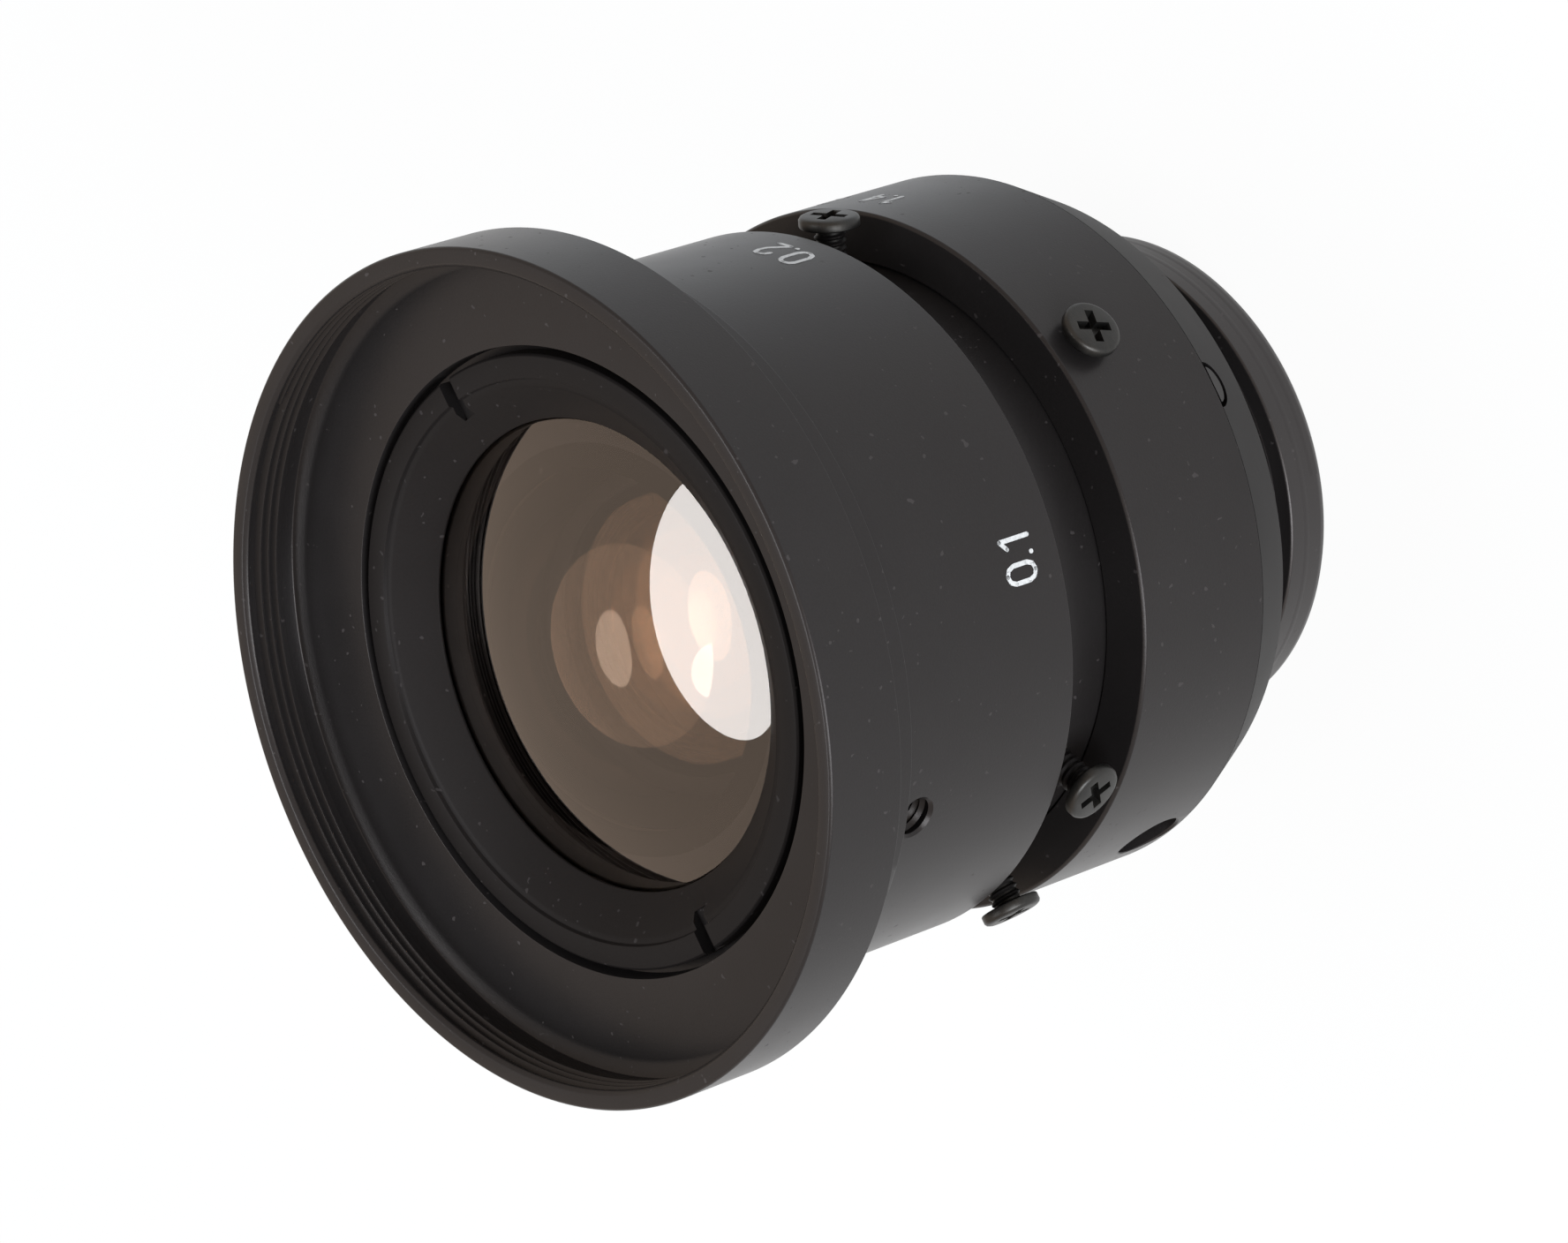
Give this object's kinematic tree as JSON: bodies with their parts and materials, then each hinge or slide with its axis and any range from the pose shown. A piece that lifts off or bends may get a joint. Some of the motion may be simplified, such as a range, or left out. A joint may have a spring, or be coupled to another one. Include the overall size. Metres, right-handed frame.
{
  "type": "entocentric lens",
  "caption": "Compact wide-angle machine-vision lens with a stepped black barrel, front filter hood, focus and iris rings with lock screws, a bladed iris and a threaded camera mount",
  "frame": {"origin": "centre of the rear end plane of the camera thread, on the optical axis", "axes": "+Z along the optical axis, from the camera side to the front glass; +X lies 22 degrees from the index plug"},
  "size_m": [0.042, 0.042, 0.044],
  "materials": {
    "black_anodised": "matte black anodised, fine grain",
    "index_fill": "satin black anodised",
    "bright_steel": "ground",
    "black_steel": "black oxide",
    "coated_glass": "polished, anti-reflection coated",
    "blackened_blade": "blackened spring steel"
  },
  "bodies": {
    "base": {"mount_base": "black_anodised", "index_plug": "index_fill", "focus_retaining_ring": "black_anodised", "guide_pin": "bright_steel", "focus_stop_pin": "bright_steel"},
    "focus": {"focus_barrel": "black_anodised"},
    "focus_lock_1": {"focus_lock_screw_1": "black_steel"},
    "focus_lock_2": {"focus_lock_screw_2": "black_steel"},
    "focus_lock_3": {"focus_lock_screw_3": "black_steel"},
    "iris": {"iris_ring": "black_anodised"},
    "iris_lock": {"iris_lock_screw": "black_steel"},
    "optics": {"lens_cell": "black_anodised", "front_hood": "black_anodised", "front_retaining_ring": "black_anodised", "front_element": "coated_glass", "front_spacer": "black_anodised", "second_element": "coated_glass", "middle_spacer": "black_anodised", "third_element": "coated_glass", "inner_spacer": "black_anodised", "fourth_element": "coated_glass", "iris_housing": "black_anodised", "iris_retainer": "black_anodised", "rear_cell": "black_anodised", "rear_crown_element": "coated_glass", "rear_flint_element": "coated_glass", "rear_spacer": "black_anodised", "rear_element": "coated_glass", "rear_retaining_ring": "black_anodised"},
    "iris_cam": {"iris_cam_ring": "black_anodised", "iris_drive_pin": "bright_steel"},
    "blade_1": {"iris_blade_1": "blackened_blade"},
    "blade_2": {"iris_blade_2": "blackened_blade"},
    "blade_3": {"iris_blade_3": "blackened_blade"},
    "blade_4": {"iris_blade_4": "blackened_blade"},
    "blade_5": {"iris_blade_5": "blackened_blade"},
    "blade_6": {"iris_blade_6": "blackened_blade"}
  },
  "joints": [
    {"name": "focus_turn", "type": "hinge", "parent": "base", "child": "focus", "pos_m": [0, 0, 0.03], "axis": [0, 0, 1], "range_deg": [-46.6, 88]},
    {"name": "focus_travel", "type": "slide", "parent": "base", "child": "optics", "axis": [0, 0, 1], "range_m": [-0.000097, 0.000183]},
    {"name": "iris_turn", "type": "hinge", "parent": "base", "child": "iris", "pos_m": [0, 0, 0.0156], "axis": [0, 0, 1], "range_deg": [0, 50]},
    {"name": "iris_cam_turn", "type": "hinge", "parent": "optics", "child": "iris_cam", "pos_m": [0, 0, 0.0152], "axis": [0, 0, 1], "range_deg": [0, 50]},
    {"name": "blade_1_turn", "type": "hinge", "parent": "optics", "child": "blade_1", "pos_m": [0.00779, -0.00041, 0.0172], "axis": [0, 0, 1], "range_deg": [0, 28]},
    {"name": "blade_2_turn", "type": "hinge", "parent": "optics", "child": "blade_2", "pos_m": [0.00425, 0.00654, 0.0172], "axis": [0, 0, 1], "range_deg": [0, 28]},
    {"name": "blade_3_turn", "type": "hinge", "parent": "optics", "child": "blade_3", "pos_m": [-0.00354, 0.00695, 0.0172], "axis": [0, 0, 1], "range_deg": [0, 28]},
    {"name": "blade_4_turn", "type": "hinge", "parent": "optics", "child": "blade_4", "pos_m": [-0.00779, 0.00041, 0.0172], "axis": [0, 0, 1], "range_deg": [0, 28]},
    {"name": "blade_5_turn", "type": "hinge", "parent": "optics", "child": "blade_5", "pos_m": [-0.00425, -0.00654, 0.0172], "axis": [0, 0, 1], "range_deg": [0, 28]},
    {"name": "blade_6_turn", "type": "hinge", "parent": "optics", "child": "blade_6", "pos_m": [0.00354, -0.00695, 0.0172], "axis": [0, 0, 1], "range_deg": [0, 28]},
    {"name": "focus_lock_1_turn", "type": "hinge", "parent": "focus", "child": "focus_lock_1", "pos_m": [0.00325, 0.0172, 0.02227], "axis": [0.1857, 0.9826, 0], "range_deg": [0, 360]},
    {"name": "focus_lock_2_turn", "type": "hinge", "parent": "focus", "child": "focus_lock_2", "pos_m": [0.01401, -0.01048, 0.02227], "axis": [0.8007, -0.599, 0], "range_deg": [0, 360]},
    {"name": "focus_lock_3_turn", "type": "hinge", "parent": "focus", "child": "focus_lock_3", "pos_m": [0.00701, -0.01604, 0.02227], "axis": [0.4003, -0.9164, 0], "range_deg": [0, 360]},
    {"name": "iris_lock_turn", "type": "hinge", "parent": "iris", "child": "iris_lock", "pos_m": [0.01423, 0.01019, 0.0176], "axis": [0.8131, 0.5821, 0], "range_deg": [0, 360]}
  ],
  "couplings": [
    {"joint": "focus_turn", "follows": "focus_travel", "rad_per_m": 8377.6},
    {"joint": "iris_cam_turn", "follows": "iris_turn", "ratio": 1},
    {"joint": "blade_1_turn", "follows": "iris_turn", "ratio": 0.56},
    {"joint": "blade_2_turn", "follows": "iris_turn", "ratio": 0.56},
    {"joint": "blade_3_turn", "follows": "iris_turn", "ratio": 0.56},
    {"joint": "blade_4_turn", "follows": "iris_turn", "ratio": 0.56},
    {"joint": "blade_5_turn", "follows": "iris_turn", "ratio": 0.56},
    {"joint": "blade_6_turn", "follows": "iris_turn", "ratio": 0.56}
  ]
}
